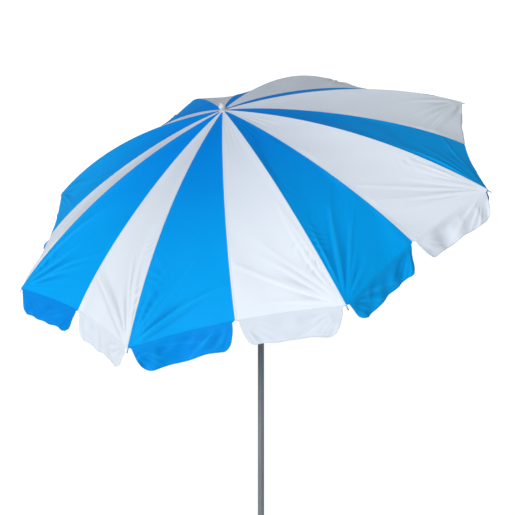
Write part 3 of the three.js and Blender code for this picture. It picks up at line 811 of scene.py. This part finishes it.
def gore(number, side, seed, shade, curl=0.0):
    """One gore of the cover with its flap, its corners shaped from a flat grid."""
    rng = np.random.default_rng(seed)
    shape = bmesh.new()
    rows = roof_rows + flap_rows
    bmesh.ops.create_grid(shape, x_segments=columns, y_segments=rows, size=0.5)
    where = np.array([corner.co[:2] for corner in shape.verts]) + 0.5
    column = np.rint(where[:, 0] * columns).astype(int)
    row = np.rint(where[:, 1] * rows).astype(int)

    # The cloth lies taut from rib to rib, and sags a little half way out.
    even = np.linspace(0, 1, columns + 1)
    part = 0.35 * even + 0.65 * smooth(0, 1, even)
    share = np.linspace(0, 1, roof_rows + 1)
    first = top_hole / (spread + 4 * bow * fall_of_rib / chord)
    share = first + (1 - first) * (1.35 * share - 0.35 * share**2)
    part_grid, share_grid = np.meshgrid(part, share)
    angle = side * half_angle * part_grid
    radius, height = ridge(share_grid)
    slack = part_grid * (2 - part_grid)
    taut = math.cos(half_angle) / np.cos(half_angle * (1 - part_grid))
    radius = radius * taut * (1 - hollow * share_grid * slack)
    height = height - cloth_sag * slack * (4 * share_grid * (1 - share_grid)) ** 1.5
    roof = np.stack([radius * np.cos(angle), radius * np.sin(angle), height], -1)

    # The flap turns down over the edge and hangs by its own weight.
    place = rib_place(number)
    down = np.array(place.to_3x3().transposed() @ Vector((0, 0, -1)))
    edge_line = roof[-1]
    edge = edge_line[-1] - edge_line[0]
    width = np.linalg.norm(edge)
    edge = edge / width
    hang = down - down.dot(edge) * edge
    hang /= np.linalg.norm(hang)
    onward = roof[-1] - roof[-3]
    onward -= (onward @ edge)[:, None] * edge
    onward /= np.linalg.norm(onward, axis=1)[:, None]
    along_edge = part * width
    from_side = np.minimum(along_edge, width - along_edge) * (1 - 2 * (flap_notch + flap_taper) / width)
    into_corner = np.maximum(0, flap_corner - from_side)
    rounded = flap_corner - np.sqrt(np.maximum(0, flap_corner**2 - into_corner**2))
    hem_depth = flap_depth - rounded + 0.0026 * swell(rng, along_edge, 0 * along_edge, 0.13)
    fraction = np.linspace(0, 1, flap_rows + 1)[1:, None] ** 1.15
    below = fraction * hem_depth[None, :]
    tuck = 0.004
    over = tuck * (1 - np.exp(-below / tuck))
    inset = flap_notch * smooth(0, 0.007, below) + flap_taper * (below / flap_depth) ** 1.6
    lean_out = 0.08 + 0.04 * rng.uniform(-1, 1) + curl * smooth(0.45, 1.0, part)
    flap = (
        edge_line[None]
        + onward[None] * (over + lean_out * (below - over))[..., None]
        + hang * ((below - over) * np.sqrt(1 - lean_out**2))[..., None]
        + edge * (inset * (1 - 2 * part[None, :]))[..., None]
    )
    sheet = np.concatenate([roof, flap])

    # Flat measures of the cut: across from the middle, and along from the top.
    step = np.linalg.norm(np.diff(sheet, axis=0), axis=2)
    along = np.concatenate([np.zeros((1, columns + 1)), np.cumsum(step, axis=0)])
    step = np.linalg.norm(np.diff(sheet, axis=1), axis=2)
    across = np.concatenate([np.zeros((rows + 1, 1)), np.cumsum(step, axis=1)], axis=1)
    full = across[:, -1:]
    to_edge = along[roof_rows] - along[: roof_rows + 1]

    # Wrinkles stand up from the cloth along its own normal.
    normal = np.cross(np.gradient(sheet, axis=1), np.gradient(sheet, axis=0))
    normal /= np.maximum(1e-12, np.linalg.norm(normal, axis=2))[..., None]
    if normal[rows // 2, columns // 2, 2] < 0:
        normal = -normal
    for place_in_row in (0, columns):
        turn = angle[0, place_in_row]
        aside = np.array([-math.sin(turn), math.cos(turn), 0])
        roof_normal = normal[: roof_rows + 1, place_in_row]
        roof_normal -= (roof_normal @ aside)[:, None] * aside
        roof_normal /= np.linalg.norm(roof_normal, axis=1)[:, None]
    rib_gap, seam_gap = across, full - across
    held = smooth(0.002, 0.030, rib_gap) * smooth(0.002, 0.022, seam_gap)
    lift = np.zeros_like(across)
    top = slice(0, roof_rows + 1)
    aside_rib, near = rib_gap[top], to_edge
    folds = np.zeros_like(lift)
    folds[top] += tip_folds(rng, aside_rib, near, rng.uniform(0.40, 0.52)) * held[top]
    ripple_way = math.radians(rng.uniform(34, 44))
    drift = 0.011 * swell(rng, aside_rib, near, 0.13)
    phase = (aside_rib * math.cos(ripple_way) + near * math.sin(ripple_way) + drift) * 2 * math.pi / 0.024
    beside = smooth(0.004, 0.018, aside_rib) * (1 - smooth(0.030, 0.095, aside_rib))
    stretch = smooth(0.04, 0.14, near) * (1 - smooth(0.30, 0.55, near))
    ripple = 0.0015 if number == 3 else rng.uniform(0.0006, 0.0013)
    patchy = np.clip(0.35 + 0.75 * swell(rng, near, aside_rib * 0.5, 0.16), 0, 1.2)
    folds[top] += ripple * np.sin(phase) * beside * stretch * patchy
    slow_swell = swell(rng, aside_rib * 1.6, near, 0.24)
    lift[top] += 0.0016 * slow_swell * held[top] * smooth(0.0, 0.25, along[top])
    gathers = np.sin(part_grid * 2 * math.pi * 4 + rng.uniform(0, 6)) * smooth(0.02, 0.08, along[top])
    lift[top] += 0.0007 * gathers * (1 - smooth(0.10, 0.30, along[top])) * held[top]
    pucker = swell(rng, across, along * 0.2, 0.016)
    lift[top] += 0.00045 * (pucker[top]) * (1 - smooth(0.004, 0.030, near)) * held[top]
    bottom = slice(roof_rows + 1, rows + 1)
    hanging = smooth(0.0, 0.05, below)
    free = across[bottom]
    lift[bottom] += 0.0050 * swell(rng, free, below * 0.7, 0.20) * hanging
    for corner_gap in (free, full[bottom] - free):
        folds[bottom] += 0.6 * tip_folds(rng, corner_gap, below, 0.34, 6) * smooth(0.004, 0.03, below)
    lift[bottom] += 0.0034 * swell(rng, free + 0.4 * below, below * 0.8, 0.085) * smooth(0.004, 0.04, below)
    crumples = np.abs(swell(rng, free * 0.55 + 0.5 * below, below * 0.5, 0.060, waves=4)) ** 0.8
    lift[bottom] -= 0.0022 * crumples * smooth(0.004, 0.03, below)
    folds[bottom] -= 0.0018 * crumples * smooth(0.004, 0.03, below)
    lift[bottom] += 0.00035 * pucker[bottom] * (1 - smooth(0.004, 0.02, below))
    hem_gap = np.maximum(0, (1 - fraction) * hem_depth[None, :])
    lift[bottom] += 0.0005 * (1 - smooth(0.0075, 0.0095, hem_gap))
    seam_margin = np.minimum(rib_gap, seam_gap)
    felled = 1 - smooth(0.0045, 0.0065, seam_margin[top])
    lift[top] += 0.0006 * felled * smooth(0.0, 0.03, along[top])
    sheet = sheet + normal * (lift + folds)[..., None]
    # This crease measure paints shade into the fold valleys and a highlight onto the crests of the cloth.
    wide = folds.copy()
    for _ in range(30):
        beside_it = wide[:-2, 1:-1] + wide[2:, 1:-1] + wide[1:-1, :-2] + wide[1:-1, 2:]
        wide[1:-1, 1:-1] = (beside_it + 4 * wide[1:-1, 1:-1]) / 8
    painted_shading = np.clip(0.5 + (folds - wide) / 0.004, 0, 1)

    for corner, i, j in zip(shape.verts, column, row):
        corner.co = sheet[j, i]
    bmesh.ops.transform(shape, matrix=place, verts=shape.verts)
    cut = np.stack([across - full / 2, along], -1)[row, column]
    hem_margin = np.full_like(across, 1.0)
    hem_margin[top] = 0.5 + to_edge
    hem_margin[bottom] = hem_gap
    sewn = np.stack([seam_margin, hem_margin], -1)[row, column]
    return shape, cut, sewn, np.stack([painted_shading, np.full_like(painted_shading, shade)], -1)[row, column]


# How far each hanging flap is mixed towards the darker shade of its cloth: 0 leaves it
# as bright as the gore above it. Five are set one by one, so the flaps differ from each other.
# Every flap gets this painted shade, and the five listed get more or less of it, painted light and shade
# for the way each one faces.
common_painted_shade = 0.32
painted_flap_shades = {
    "panel_blue_1": 0.62,
    "panel_blue_2": 0.50,
    "panel_white_3": 0.50,
    "panel_blue_3": 0.05,
    "panel_white_4": 0.12,
}
for number in range(1, 9):
    for side, colour, finish in ((1, "blue", blue_nylon), (-1, "white", white_nylon)):
        panel_name = f"panel_{colour}_{number}"
        turned_out = 0.85 if panel_name == "panel_blue_8" else 0.0
        painted_flap_shade = painted_flap_shades.get(panel_name, common_painted_shade)
        shape, cut, sewn, painted_shading = gore(number, side, 40 * number + side, painted_flap_shade, turned_out)
        bmesh.ops.recalc_face_normals(shape, faces=shape.faces)
        outwards = sorted(shape.faces, key=lambda face: (face.calc_center_median() - cover_top).length)
        middle = outwards[len(outwards) // 2]
        if middle.normal.dot(upward) < 0:
            bmesh.ops.reverse_faces(shape, faces=shape.faces)
        panel = fit(
            shape, panel_name, finish, f"{colour}_cloth", f"rib_{number}", f"gore_{colour}_{number}",
            crease=180,
        )
        # The last of these maps carries painted shade: the fold measure and how much darker each flap is
        # painted.
        corners = np.zeros(len(panel.data.loops), int)
        panel.data.loops.foreach_get("vertex_index", corners)
        for layer, flat in (("cut", cut), ("sewn", sewn), ("painted_shading", painted_shading)):
            panel.data.uv_layers.new(name=layer).data.foreach_set("uv", flat[corners].ravel())
        wall = panel.modifiers.new("thickness", "SOLIDIFY")
        wall.thickness = 0.0006
        wall.offset = -1
        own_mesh(panel)
